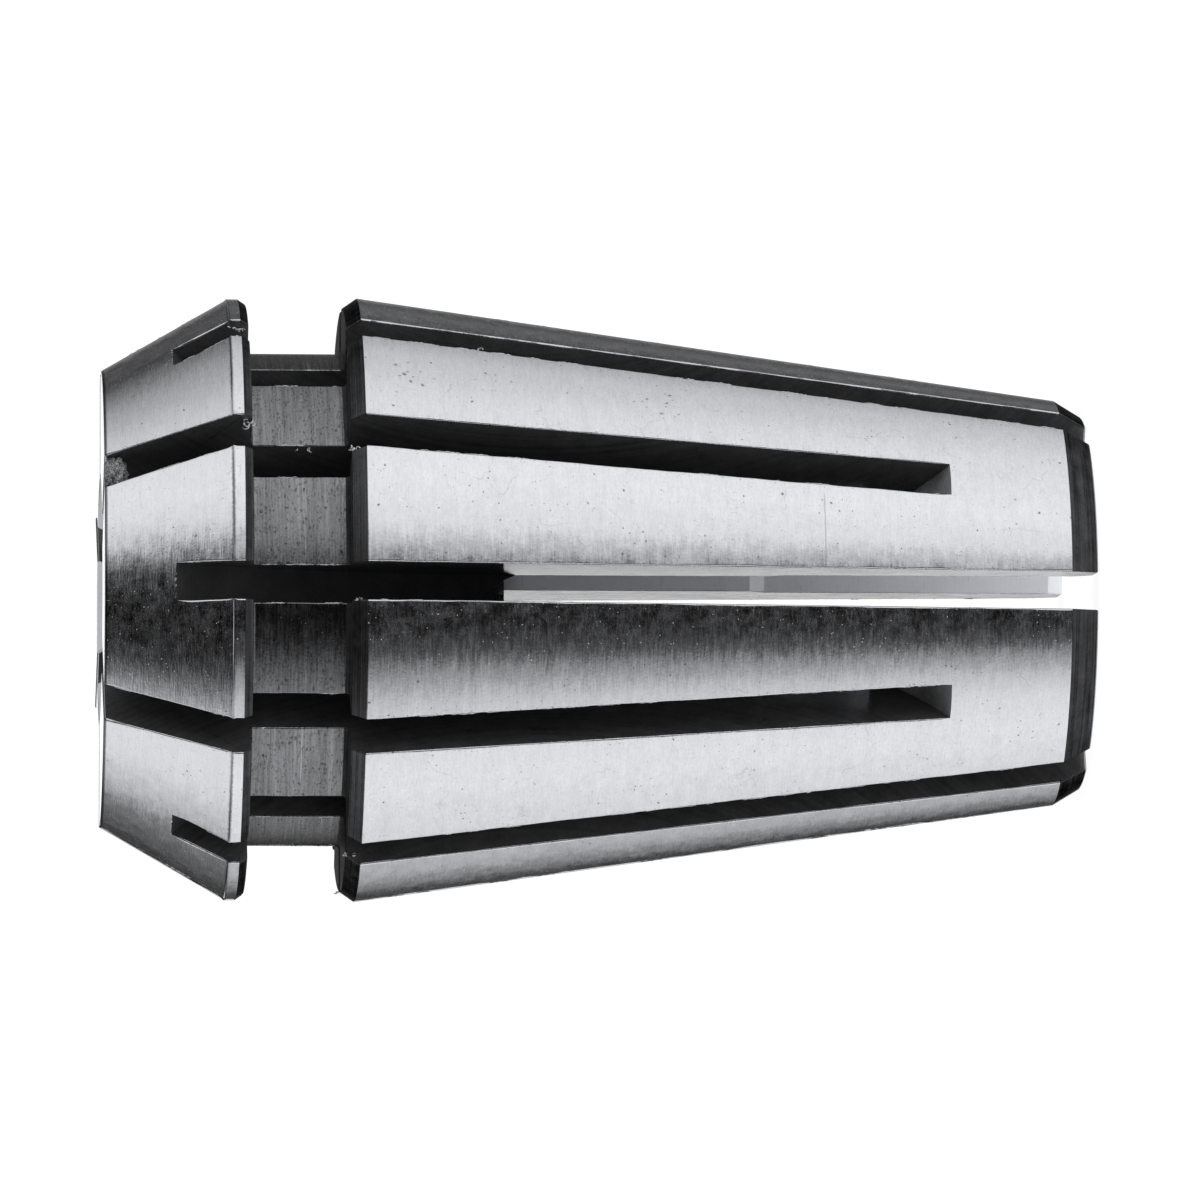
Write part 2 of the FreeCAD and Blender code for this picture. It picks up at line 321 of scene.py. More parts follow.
def build_wedge(b, seeds):
    """One 30 degree wedge: tail slot middle at angle 0, nose slot middle at 30."""
    def surf(i, ang):
        r, z, nr, nz, _ = ROWS[i]
        p = Vector((r * math.cos(ang), r * math.sin(ang), z))
        n = Vector((nr * math.cos(ang), nr * math.sin(ang), nz))
        return p, n

    def edge_ang(i, which, e):
        r = ROWS[i][0]
        t = math.asin(min(1.0, (HALF + e) / r))
        return t if which == 0 else math.radians(30.0) - t

    wall_pts = {0: {}, 1: {}}
    e_of = [[lip(i, w, seeds[w]) for i in range(NR)] for w in (0, 1)]

    # middle columns and lip roundings
    for i in range(NR):
        j = (i + 1) % NR
        kind = ROWS[i][4]
        cols_i = [edge_ang(i, 0, e_of[0][i])]
        cols_j = [edge_ang(j, 0, e_of[0][j])]
        ei, ej = edge_ang(i, 1, e_of[1][i]), edge_ang(j, 1, e_of[1][j])
        cols_i = [cols_i[0] + (ei - cols_i[0]) * c / COLS for c in range(COLS + 1)]
        cols_j = [cols_j[0] + (ej - cols_j[0]) * c / COLS for c in range(COLS + 1)]
        for c in range(COLS):
            p0, n0 = surf(i, cols_i[c])
            p1, n1 = surf(i, cols_i[c + 1])
            p2, n2 = surf(j, cols_j[c + 1])
            p3, n3 = surf(j, cols_j[c])
            b.face([p0, p1, p2, p3], [n0, n1, n2, n3], kind)

    def lip_point(i, which, k):
        r, z, nr, nz, _ = ROWS[i]
        e = e_of[which][i]
        phi = math.pi / 2 * k / BEV
        lat = HALF + e - e * math.sin(phi)
        dep = e - e * math.cos(phi)
        rr, zz = r - dep * nr, z - dep * nz
        d = math.sqrt(max(1e-9, rr * rr - lat * lat))
        p = local(which, lat, d, zz)
        ang = math.atan2(p.y, p.x)
        n = Vector((nr * math.cos(ang), nr * math.sin(ang), nz)) * math.cos(phi)
        side = local(which, -1.0, 0.0, 0.0)
        n = (n + side * math.sin(phi)).normalized()
        return p, n

    for which, inside in ((0, in_tail), (1, in_nose)):
        for i in range(NR):
            j = (i + 1) % NR
            if not (inside(i) and inside(j)):
                continue
            kind = ROWS[i][4]
            for k in range(BEV):
                p0, n0 = lip_point(i, which, k)
                p1, n1 = lip_point(i, which, k + 1)
                p2, n2 = lip_point(j, which, k + 1)
                p3, n3 = lip_point(j, which, k)
                if which == 0:
                    b.face([p3, p2, p1, p0], [n3, n2, n1, n0], kind)
                else:
                    b.face([p0, p1, p2, p3], [n0, n1, n2, n3], kind)
        # the part of the surface between the slot's middle and its edge, where the slot has run out
        for i in range(NR):
            j = (i + 1) % NR
            kind = ROWS[i][4]
            if inside(i) and inside(j):
                continue
            bore = kind == 3 and 0.5 < min(ROWS[i][1], ROWS[j][1]) and max(ROWS[i][1], ROWS[j][1]) < L - 0.5
            ends = (ZT_BORE if bore else ZT_OUT) if which == 0 else (ZN_BORE if bore else ZN_OUT)

            def point(row, s, k):
                r, z, nr, nz, _ = ROWS[row]
                if inside(row):
                    # the run-out edge: height of this column's end on the surface
                    z = ends[k]
                    other = j if row == i else i
                    ra, za = ROWS[row][0], ROWS[row][1]
                    rb, zb = ROWS[other][0], ROWS[other][1]
                    r = ra + (rb - ra) * (z - za) / (zb - za)
                d = math.sqrt(r * r - s * s)
                p = local(which, s, d, z)
                ang = math.atan2(p.y, p.x)
                return p, Vector((nr * math.cos(ang), nr * math.sin(ang), nz))

            for k in range(S_STEPS):
                s0, s1 = S_LIST[k], S_LIST[k + 1]
                p0, n0 = point(i, s0, k)
                p1, n1 = point(i, s1, k + 1)
                p2, n2 = point(j, s1, k + 1)
                p3, n3 = point(j, s0, k)
                if which == 0:
                    b.face([p0, p1, p2, p3], [n0, n1, n2, n3], kind)
                else:
                    b.face([p3, p2, p1, p0], [n3, n2, n1, n0], kind)

        # floor of the run-out
        steps = 40
        z_in = ZT_BORE if which == 0 else ZN_BORE
        z_out = ZT_OUT if which == 0 else ZN_OUT
        floor = tail_floor if which == 0 else nose_floor

        def fpoint(k, t):
            f = t / steps
            z = z_in[k] + (z_out[k] - z_in[k]) * f
            d = floor(z)
            p = local(which, S_LIST[k], d, z)
            # the floor faces out of the arc's centre line
            if which == 0:
                nd, nz = (TS_F + TS_R - d), (TS_Z - z)
            else:
                nd, nz = (NS_F + NS_R - d), (NS_Z - z)
            m = math.hypot(nd, nz)
            n = local(which, 0.0, nd / m, 0.0) + Vector((0, 0, nz / m))
            return p, n

        for k in range(S_STEPS):
            for t in range(steps):
                p0, n0 = fpoint(k, t)
                p1, n1 = fpoint(k + 1, t)
                p2, n2 = fpoint(k + 1, t + 1)
                p3, n3 = fpoint(k, t + 1)
                order = [0, 1, 2, 3] if which == 0 else [3, 2, 1, 0]
                if which == 1:
                    order = [0, 1, 2, 3]
                pts = [p0, p1, p2, p3]
                nn = [n0, n1, n2, n3]
                # the winding follows the wanted normal
                nf = (pts[1] - pts[0]).cross(pts[3] - pts[0])
                if nf.dot(n0) < 0:
                    order = order[::-1]
                # tail slots' run-out floors take the painted shade copy (9), nose slots' the painted light copy (6)
                b.face([pts[q] for q in order], [nn[q] for q in order], 9 if which == 0 else 6)

        # the flat wall, one planar face strip per height
        ring = []
        idx = [i for i in range(NR) if inside(i)]
        # rotate so that the run of inside rows is continuous
        start = 0
        for q in range(len(idx)):
            if (idx[q] - idx[q - 1]) % NR != 1:
                start = q
        idx = idx[start:] + idx[:start]
        for i in idx:
            ring.append(lip_point(i, which, BEV)[0])
        # the ring now runs between the two run-out ends; close it along the floor
        last_z = ring[-1].z
        near_out = abs(last_z - z_out[-1]) < abs(last_z - z_in[-1])
        rng = range(steps - 1, 0, -1) if near_out else range(1, steps)
        for t in rng:
            ring.append(fpoint(S_STEPS, t)[0])
        side = local(which, -1.0, 0.0, 0.0)
        # winding
        area = Vector((0, 0, 0))
        for q in range(len(ring)):
            area += ring[q - 1].cross(ring[q])
        if area.dot(side) < 0:
            ring = ring[::-1]
        b.face(ring, [side] * len(ring), 2)


def make_collet():
    b = Builder()
    build_wedge(b, (0.4, 1.9))
    v0, f0, k0, n0 = b.verts, b.faces, b.kinds, b.normals
    full = Builder()
    # wedge angle 0 is a tail slot's middle; the CAD has tail slots on the Y axis
    for q in range(6):
        base = math.radians(-90.0 + 60.0 * q)
        for mirror in (1, -1):
            c, s = math.cos(base), math.sin(base)

            def place(p):
                x, y, z = p[0], p[1] * mirror, p[2]
                return Vector((x * c - y * s, x * s + y * c, z))
            vp = [place(p) for p in v0]
            for face, kind, nrm in zip(f0, k0, n0):
                pts = [vp[i] for i in face]
                nn = [place(n) for n in nrm]
                if mirror < 0:
                    pts, nn = pts[::-1], nn[::-1]
                full.face(pts, nn, kind)
    me = bpy.data.meshes.new("collet_body")
    me.from_pydata([(p[0] * MM, p[1] * MM, min(p[2], L - 4e-6) * MM) for p in full.verts], [], full.faces)
    me.polygons.foreach_set("material_index", full.kinds)
    me.polygons.foreach_set("use_smooth", [True] * len(full.faces))
    loops = []
    for face, nrm in zip(full.faces, full.normals):
        loops.extend([tuple(n.normalized()) for n in nrm])
    me.update()
    me.normals_split_custom_set(loops)
    ob = bpy.data.objects.new("collet_body", me)
    scene.collection.objects.link(ob)
    return ob


# --------------------------------------------------------------------------
# Materials
# --------------------------------------------------------------------------
class Kit:
    """Small helper for one node material; lengths in it are millimetres."""

    def __init__(self, name):
        self.m = bpy.data.materials.new(name)
        self.m.use_nodes = True
        self.nt = self.m.node_tree
        self.p = self.nt.nodes["Principled BSDF"]
        tc = self.nt.nodes.new("ShaderNodeTexCoord")
        mm = self.nt.nodes.new("ShaderNodeVectorMath")
        mm.operation = "SCALE"
        mm.inputs["Scale"].default_value = 1000.0
        self.nt.links.new(tc.outputs["Object"], mm.inputs[0])
        self.P = mm.outputs[0]
        sep = self.nt.nodes.new("ShaderNodeSeparateXYZ")
        self.nt.links.new(self.P, sep.inputs[0])
        self.x, self.y, self.z = sep.outputs[0], sep.outputs[1], sep.outputs[2]
        rr = self.math("ADD", self.math("MULTIPLY", self.x, self.x), self.math("MULTIPLY", self.y, self.y))
        self.r = self.math("SQRT", rr)
        self.cx = self.math("DIVIDE", self.x, self.r)
        self.cy = self.math("DIVIDE", self.y, self.r)
        # runs across the tool marks on every turned face
        self.q = self.math("MULTIPLY_ADD", self.r, -0.8, self.z)

    def put(self, sock, val):
        if isinstance(val, bpy.types.NodeSocket):
            self.nt.links.new(val, sock)
        else:
            sock.default_value = val

    def math(self, op, a, b=None, c=None, clamp=False):
        n = self.nt.nodes.new("ShaderNodeMath")
        n.operation = op
        n.use_clamp = clamp
        self.put(n.inputs[0], a)
        if b is not None:
            self.put(n.inputs[1], b)
        if c is not None:
            self.put(n.inputs[2], c)
        return n.outputs[0]

    def xyz(self, x, y, z):
        n = self.nt.nodes.new("ShaderNodeCombineXYZ")
        for sock, v in zip(n.inputs, (x, y, z)):
            self.put(sock, v)
        return n.outputs[0]

    def noise(self, vec, scale, detail=2.0, rough=0.5, distort=0.0):
        n = self.nt.nodes.new("ShaderNodeTexNoise")
        self.nt.links.new(vec, n.inputs["Vector"])
        n.inputs["Scale"].default_value = scale
        n.inputs["Detail"].default_value = detail
        n.inputs["Roughness"].default_value = rough
        n.inputs["Distortion"].default_value = distort
        return n.outputs[0]

    def noise_vec(self, vec, scale, detail=2.0):
        n = self.nt.nodes.new("ShaderNodeTexNoise")
        self.nt.links.new(vec, n.inputs["Vector"])
        n.inputs["Scale"].default_value = scale
        n.inputs["Detail"].default_value = detail
        return n.outputs["Color"]

    def cells(self, vec, scale, feature="F1"):
        n = self.nt.nodes.new("ShaderNodeTexVoronoi")
        n.feature = feature
        self.nt.links.new(vec, n.inputs["Vector"])
        n.inputs["Scale"].default_value = scale
        if feature == "DISTANCE_TO_EDGE":
            return n.outputs["Distance"], None
        sep = self.nt.nodes.new("ShaderNodeSeparateColor")
        self.nt.links.new(n.outputs["Color"], sep.inputs[0])
        return n.outputs["Distance"], sep.outputs

    def step(self, v, a, b, lo=0.0, hi=1.0):
        n = self.nt.nodes.new("ShaderNodeMapRange")
        n.interpolation_type = "SMOOTHSTEP"
        self.put(n.inputs["Value"], v)
        for k, x in (("From Min", a), ("From Max", b), ("To Min", lo), ("To Max", hi)):
            self.put(n.inputs[k], x)
        return n.outputs[0]

    def lin(self, v, a, b, lo, hi):
        n = self.nt.nodes.new("ShaderNodeMapRange")
        self.put(n.inputs["Value"], v)
        for k, x in (("From Min", a), ("From Max", b), ("To Min", lo), ("To Max", hi)):
            self.put(n.inputs[k], x)
        return n.outputs[0]

    def mix(self, f, a, b):
        n = self.nt.nodes.new("ShaderNodeMix")
        n.data_type = "FLOAT"
        self.put(n.inputs[0], f)
        self.put(n.inputs[2], a)
        self.put(n.inputs[3], b)
        return n.outputs[0]

    def warp(self, amount, scale):
        """The position pushed about by a soft noise."""
        nv = self.noise_vec(self.P, scale)
        n = self.nt.nodes.new("ShaderNodeVectorMath")
        n.operation = "MULTIPLY_ADD"
        self.nt.links.new(nv, n.inputs[0])
        n.inputs[1].default_value = (amount, amount, amount)
        self.nt.links.new(self.P, n.inputs[2])
        return n.outputs[0]

    def streak(self, around, across, shift=0.0, detail=2.0, rough=0.5):
        """Noise drawn out round the part: marks of turning or grinding."""
        v = self.xyz(self.math("MULTIPLY", self.cx, around), self.math("MULTIPLY", self.cy, around),
                     self.math("MULTIPLY_ADD", self.q, across, shift))
        return self.noise(v, 1.0, detail, rough)

    def add(self, *terms):
        """Sum of (socket, centre, weight) and plain numbers."""
        out = None
        const = 0.0
        for t in terms:
            if isinstance(t, tuple):
                v, mid, w = t
                const -= mid * w
                if out is None:
                    out = self.math("MULTIPLY", v, w)
                else:
                    out = self.math("MULTIPLY_ADD", v, w, out)
            else:
                const += t
        return self.math("ADD", out, const)

    def dots(self, scale, radius, keep, vec=None, soft=0.5):
        """Round marks: cells of 1/scale mm, a mark's radius in mm, and how many are kept."""
        d, col = self.cells(vec or self.P, scale)
        size = self.lin(col[1], 0.0, 1.0, radius * scale * 0.45, radius * scale)
        near = self.step(self.math("DIVIDE", d, size), soft, 1.0, 1.0, 0.0)
        on = self.math("LESS_THAN", col[0], keep)
        return self.math("MULTIPLY", near, on)

    def near(self, az, r, z, forward_bore_shade, outer):
        """1 within inner mm of a place on the outside, falling to 0 at outer mm."""
        n = self.nt.nodes.new("ShaderNodeVectorMath")
        n.operation = "DISTANCE"
        self.nt.links.new(self.P, n.inputs[0])
        a = math.radians(az)
        n.inputs[1].default_value = (math.sin(a) * r, -math.cos(a) * r, z)
        return self.step(n.outputs["Value"], forward_bore_shade, outer, 1.0, 0.0)

    def grey(self, v, tint=(0.985, 0.995, 1.035)):
        n = self.nt.nodes.new("ShaderNodeCombineColor")
        for sock, t in zip(n.inputs, tint):
            self.put(sock, self.math("MULTIPLY", v, t))
        self.nt.links.new(n.outputs[0], self.p.inputs["Base Color"])

    def bump(self, height, distance, normal=None):
        n = self.nt.nodes.new("ShaderNodeBump")
        n.inputs["Strength"].default_value = 1.0
        n.inputs["Distance"].default_value = distance * MM
        self.nt.links.new(height, n.inputs["Height"])
        if normal is not None:
            self.nt.links.new(normal, n.inputs["Normal"])
        self.nt.links.new(n.outputs[0], self.p.inputs["Normal"])

    def combed(self, lean):
        """Leans the surface round the part by lean, so each tool mark reflects its own way."""
        geo = self.nt.nodes.new("ShaderNodeNewGeometry")
        round_ = self.xyz(self.math("MULTIPLY", self.cy, -1.0), self.cx, 0.0)
        sc = self.nt.nodes.new("ShaderNodeVectorMath")
        sc.operation = "SCALE"
        self.nt.links.new(round_, sc.inputs[0])
        self.nt.links.new(lean, sc.inputs["Scale"])
        ad = self.nt.nodes.new("ShaderNodeVectorMath")
        ad.operation = "ADD"
        self.nt.links.new(geo.outputs["Normal"], ad.inputs[0])
        self.nt.links.new(sc.outputs[0], ad.inputs[1])
        nm = self.nt.nodes.new("ShaderNodeVectorMath")
        nm.operation = "NORMALIZE"
        self.nt.links.new(ad.outputs[0], nm.inputs[0])
        return nm.outputs[0]

    def brushed(self, amount):
        """Reflections drawn out across the tool marks."""
        t = self.nt.nodes.new("ShaderNodeTangent")
        t.direction_type = "RADIAL"
        t.axis = "Z"
        self.nt.links.new(t.outputs[0], self.p.inputs["Tangent"])
        self.p.inputs["Anisotropic"].default_value = amount
        self.p.inputs["Anisotropic Rotation"].default_value = 0.25

    def lip_distance(self):
        """Distance in mm from the nearest slot's lip, on the outside."""
        ang = self.math("ARCTAN2", self.x, self.math("MULTIPLY", self.y, -1.0))
        a = self.math("PINGPONG", ang, math.radians(30.0))
        tail = self.math("MULTIPLY_ADD", self.r, self.math("SINE", a), -HALF)
        tail = self.math("ADD", tail, self.math("MULTIPLY", self.math("GREATER_THAN", self.z, 24.63), 9.0))
        b = self.math("SUBTRACT", math.radians(30.0), a)
        nose = self.math("MULTIPLY_ADD", self.r, self.math("SINE", b), -HALF)
        nose = self.math("ADD", nose, self.math("MULTIPLY", self.math("LESS_THAN", self.z, 4.6), 9.0))
        return self.math("MINIMUM", tail, nose)


def ground_steel():
    k = Kit("ground_steel")
    fine = k.streak(24.0, 24.0, 3.0, 2.0)
    wide = k.streak(4.0, 5.0, 40.0, 2.0)
    cloud = k.noise(k.P, 2.6, 4.0, 0.62)
    micro = k.noise(k.P, 13.0, 2.0, 0.55)
    patch = k.noise(k.P, 0.42, 2.0)
    # small pits, in patches, and a few larger ones
    bent = k.warp(0.10, 9.0)
    few = k.math("MULTIPLY", k.dots(2.1, 0.054, 0.85, bent, 0.35), k.step(patch, 0.34, 0.50, 0.35, 1.0))
    many = k.math("MULTIPLY", k.dots(6.5, 0.038, 0.60, bent, 0.35), k.step(k.noise(k.P, 0.75, 1.0), 0.52, 0.62))
    # three clusters of pits high on the long cone
    spots = k.math("MAXIMUM", k.near(44.0, 8.27, 19.2, 0.35, 1.0), k.math("MAXIMUM", k.near(46.0, 8.03, 17.0, 0.15, 0.6), k.near(46.0, 7.25, 12.0, 0.30, 1.1)))
    many = k.math("MAXIMUM", many, k.math("MULTIPLY", spots, k.dots(5.2, 0.080, 0.70, bent, 0.35)))
    tiny = k.math("MULTIPLY", k.dots(4.3, 0.026, 0.60, bent, 0.3), 0.70)
    pits = k.math("MAXIMUM", k.math("MAXIMUM", few, many), tiny)
    # bright specks of dust and fine nicks
    specks = k.dots(8.5, 0.018, 0.38, None, 0.3)
    # faint wandering lines
    lines, _ = k.cells(k.warp(1.1, 1.3), 0.62, "DISTANCE_TO_EDGE")
    wander = k.math("MULTIPLY", k.step(lines, 0.0, 0.016, 1.0, 0.0), k.step(k.noise(k.P, 0.9, 3.0), 0.52, 0.62))
    # near the slots the surface is nicked, and a little darker and rougher along the lips
    lip = k.lip_distance()
    ragged = k.math("MULTIPLY_ADD", micro, 0.12, lip)
    edge = k.step(ragged, 0.06, 0.17, 1.0, 0.0)
    nicks = k.math("MULTIPLY", k.step(ragged, 0.08, 0.36, 1.0, 0.0), k.dots(11.0, 0.030, 0.55, bent, 0.3))

    base = k.add(0.80, (fine, 0.5, 0.20), (wide, 0.5, 0.10), (micro, 0.5, 0.17), (cloud, 0.5, 0.16), (wander, 0.0, -0.12), (edge, 0.0, -0.06))
    base = k.math("MULTIPLY", base, k.math("MULTIPLY_ADD", pits, -0.68, 1.0))
    # a dark line painted as shade along the small step where the nose cone meets the flange, and one turning scratch on
    # the long cone
    off = k.math("ABSOLUTE", k.math("ADD", k.z, -(L - 3.475)))
    step_shade = k.math("MULTIPLY", k.step(k.math("MULTIPLY_ADD", micro, 0.05, off), 0.035, 0.095, 1.0, 0.0), k.step(wide, 0.30, 0.55, 0.35, 1.0))
    base = k.math("MULTIPLY", base, k.math("MULTIPLY_ADD", step_shade, -0.74, 1.0))
    # painted shade: the rounded edge at the nose and a thin band below it are darkened
    nose_edge_shade = k.step(k.math("MULTIPLY_ADD", micro, 0.03, k.z), L - 0.085, L - 0.035)
    base = k.math("MULTIPLY", base, k.math("MULTIPLY_ADD", nose_edge_shade, -0.82, 1.0))
    turn = k.math("ARCTAN2", k.x, k.math("MULTIPLY", k.y, -1.0))
    mark = k.math("MULTIPLY", k.step(k.math("ABSOLUTE", k.math("ADD", k.math("MULTIPLY_ADD", micro, 0.02, k.z), -7.70)), 0.008, 0.028, 1.0, 0.0),
                  k.math("MULTIPLY", k.step(turn, 0.04, 0.07), k.step(turn, 0.36, 0.44, 1.0, 0.0)))
    base = k.math("MULTIPLY", base, k.math("MULTIPLY_ADD", mark, -0.30, 1.0))
    base = k.math("MULTIPLY", base, k.math("MULTIPLY_ADD", nicks, -0.45, 1.0), clamp=True)
    k.grey(base)
    rough = k.add(0.185, (fine, 0.5, 0.30), (cloud, 0.5, 0.12), (specks, 0.0, 0.45), (pits, 0.0, 0.2), (edge, 0.0, 0.08), (nicks, 0.0, 0.3))
    k.put(k.p.inputs["Roughness"], k.math("MAXIMUM", rough, 0.10))
    metal = k.add(0.975, (cloud, 0.5, -0.16), (micro, 0.5, -0.09), (specks, 0.0, -0.25))
    k.put(k.p.inputs["Metallic"], k.math("MINIMUM", k.math("MAXIMUM", metal, 0.0), 1.0))
    height = k.add(0.0, (fine, 0.5, 1.0), (micro, 0.5, 0.7), (specks, 0.0, 2.0))
    comb = k.streak(15.0, 30.0, 71.0, 1.0)
    broad = k.streak(5.0, 6.0, 91.0, 2.0)
    k.bump(height, 0.0026, k.combed(k.add(0.0, (comb, 0.5, 0.080), (broad, 0.5, 0.050), (cloud, 0.5, 0.09))))
    k.brushed(0.55)
    return k.m


def groove_steel():
    k = Kit("groove_bottom_steel")
    fine = k.streak(9.0, 22.0, 7.0, 2.0)
    wide = k.streak(1.0, 3.6, 11.0, 3.0)
    cloud = k.noise(k.P, 2.2, 4.0, 0.6)
    micro = k.noise(k.P, 12.0, 2.0, 0.6)
    # torn metal: short dark marks
    v = k.xyz(k.math("MULTIPLY", k.cx, 46.0), k.math("MULTIPLY", k.cy, 46.0), k.math("MULTIPLY", k.q, 15.0))
    torn = k.step(k.noise(v, 1.3, 2.0, 0.6, 0.6), 0.535, 0.64)
    torn = k.math("MULTIPLY", torn, k.step(cloud, 0.38, 0.54))
    pits = k.dots(3.4, 0.062, 0.6, k.warp(0.14, 9.0), 0.4)
    # a few sharp bright turning lines
    sharp = k.math("MULTIPLY", k.step(k.streak(1.6, 10.0, 23.0, 1.0), 0.70, 0.76), k.step(k.streak(2.4, 1.0, 5.0, 1.0), 0.45, 0.60))
    specks = k.dots(8.0, 0.020, 0.55, None, 0.3)
    lines = k.streak(2.2, 17.0, 33.0, 1.0)
    # the low tone is painted shade in the groove; the turning lines, tears and pits on it are the metal's own marks
    base = k.add(0.245, (fine, 0.5, 0.22), (wide, 0.5, 0.22), (lines, 0.5, 0.22), (micro, 0.5, 0.12), (sharp, 0.0, 0.24), (cloud, 0.5, 0.06))
    base = k.math("MULTIPLY", base, k.math("MULTIPLY_ADD", torn, -0.62, 1.0))
    base = k.math("MULTIPLY", base, k.math("MULTIPLY_ADD", pits, -0.7, 1.0))
    k.grey(k.math("MAXIMUM", base, 0.012))
    k.put(k.p.inputs["Roughness"], k.math("MAXIMUM", k.add(0.27, (fine, 0.5, 0.2), (cloud, 0.5, 0.2), (specks, 0.0, 0.4)), 0.12))
    k.put(k.p.inputs["Metallic"], k.math("MINIMUM", k.add(0.985, (cloud, 0.5, -0.12), (specks, 0.0, -0.5)), 1.0))
    k.bump(k.add(0.0, (fine, 0.5, 1.0), (wide, 0.5, 2.0), (micro, 0.5, 1.0), (specks, 0.0, 1.5)), 0.0040,
           k.combed(k.add(0.0, (k.streak(14.0, 24.0, 61.0, 1.0), 0.5, 0.13))))
    k.brushed(0.4)
    return k.m


def chamfer_steel():
    k = Kit("turned_chamfer_steel")
    fine = k.streak(3.0, 30.0, 17.0, 1.0)
    ridge = k.streak(0.5, 15.0, 2.0, 1.0)
    cloud = k.noise(k.P, 2.4, 4.0, 0.6)
    micro = k.noise(k.P, 14.0, 2.0, 0.6)
    specks = k.dots(8.0, 0.020, 0.5, None, 0.3)
    lip = k.lip_distance()
    near = k.step(k.math("MULTIPLY_ADD", micro, 0.15, lip), 0.10, 0.50, 1.0, 0.0)
    wavy = k.step(ridge, 0.40, 0.60)
    base = k.add(0.072, (fine, 0.5, 0.10), (wavy, 0.5, 0.030), (cloud, 0.5, 0.07), (micro, 0.5, 0.05), (near, 0.0, 0.01))
    k.grey(k.math("MAXIMUM", base, 0.012))
    k.put(k.p.inputs["Roughness"], k.math("MAXIMUM", k.add(0.36, (cloud, 0.5, 0.3), (specks, 0.0, 0.3)), 0.14))
    k.put(k.p.inputs["Metallic"], k.math("MINIMUM", k.add(0.95, (cloud, 0.5, -0.3), (specks, 0.0, -0.6)), 1.0))
    k.bump(k.add(0.0, (fine, 0.5, 1.0), (wavy, 0.5, 0.8), (micro, 0.5, 0.7), (specks, 0.0, 1.5)), 0.0035)
    k.p.inputs["Specular Tint"].default_value = (0.22, 0.22, 0.22, 1)
    k.brushed(0.4)
    return k.m


def side_steel():
    k = Kit("groove_side_steel")
    fine = k.streak(5.0, 24.0, 19.0, 2.0)
    cloud = k.noise(k.P, 2.8, 4.0, 0.65)
    micro = k.noise(k.P, 13.0, 2.0, 0.6)
    # painted shade: the groove's side walls are given a near-black tone for the shade in the groove
    k.grey(k.math("MAXIMUM", k.add(0.055, (fine, 0.5, 0.08), (cloud, 0.5, 0.09), (micro, 0.5, 0.06)), 0.012))
    k.p.inputs["Metallic"].default_value = 0.2
    k.p.inputs["Specular IOR Level"].default_value = 0.15
    k.p.inputs["Specular Tint"].default_value = (0.2, 0.2, 0.2, 1)
    k.put(k.p.inputs["Roughness"], k.add(0.62, (cloud, 0.5, 0.3)))
    k.bump(k.add(0.0, (fine, 0.5, 1.0), (micro, 0.5, 0.7)), 0.0035)
    return k.m


def faced_steel(name, tone, rough, depth):
    k = Kit(name)
    fine = k.streak(8.0, 26.0, 31.0, 2.0)
    wide = k.streak(1.5, 4.0, 13.0, 2.0)
    cloud = k.noise(k.P, 2.4, 4.0, 0.6)
    micro = k.noise(k.P, 13.0, 2.0, 0.6)
    specks = k.dots(8.0, 0.020, 0.5, None, 0.3)
    pits = k.dots(2.6, 0.045, 0.4, k.warp(0.12, 9.0), 0.4)
    base = k.add(tone, (fine, 0.5, tone * 0.5), (wide, 0.5, tone * 0.4), (cloud, 0.5, 0.10), (micro, 0.5, 0.10))
    base = k.math("MULTIPLY", base, k.math("MULTIPLY_ADD", pits, -0.6, 1.0))
    k.grey(k.math("MAXIMUM", base, 0.02))
    k.put(k.p.inputs["Roughness"], k.math("MAXIMUM", k.add(rough, (fine, 0.5, rough * 0.8), (cloud, 0.5, rough * 0.6), (specks, 0.0, 0.3)), 0.10))
    k.put(k.p.inputs["Metallic"], k.math("MINIMUM", k.add(0.95, (cloud, 0.5, -0.2), (specks, 0.0, -0.4)), 1.0))
    k.bump(k.add(0.0, (fine, 0.5, 1.0), (wide, 0.5, 1.6), (micro, 0.5, 0.8), (pits, 0.0, -2.0)), depth)
    k.brushed(0.4)
    return k.m


def sawn_steel(name, tone, metallic, rough):
    """Slot sides: dark, with the arcs of a slitting saw."""
    k = Kit(name)
    # distance from the saw's centre, so that the marks are arcs across the slot's height
    az = k.math("SUBTRACT", k.r, TS_F + TS_R)
    zz = k.math("SUBTRACT", k.z, TS_Z)
    rad = k.math("SQRT", k.math("ADD", k.math("MULTIPLY", az, az), k.math("MULTIPLY", zz, zz)))
    arc = k.noise(k.xyz(k.math("MULTIPLY", rad, 7.0), k.math("MULTIPLY", k.x, 0.3), k.math("MULTIPLY", k.y, 0.3)), 1.0, 3.0, 0.6)
    cloud = k.noise(k.P, 1.6, 4.0, 0.6)
    micro = k.noise(k.P, 11.0, 2.0, 0.6)
    base = k.add(tone, (arc, 0.5, tone * 1.1), (cloud, 0.5, tone * 1.0), (micro, 0.5, tone * 0.6))
    k.grey(k.math("MAXIMUM", base, tone * 0.25))
    k.p.inputs["Metallic"].default_value = metallic
    k.put(k.p.inputs["Roughness"], k.math("MAXIMUM", k.add(rough, (arc, 0.5, 0.10), (cloud, 0.5, 0.08)), 0.08))
    k.bump(k.add(0.0, (arc, 0.5, 1.0), (micro, 0.5, 0.5)), 0.0012)
    return k.m


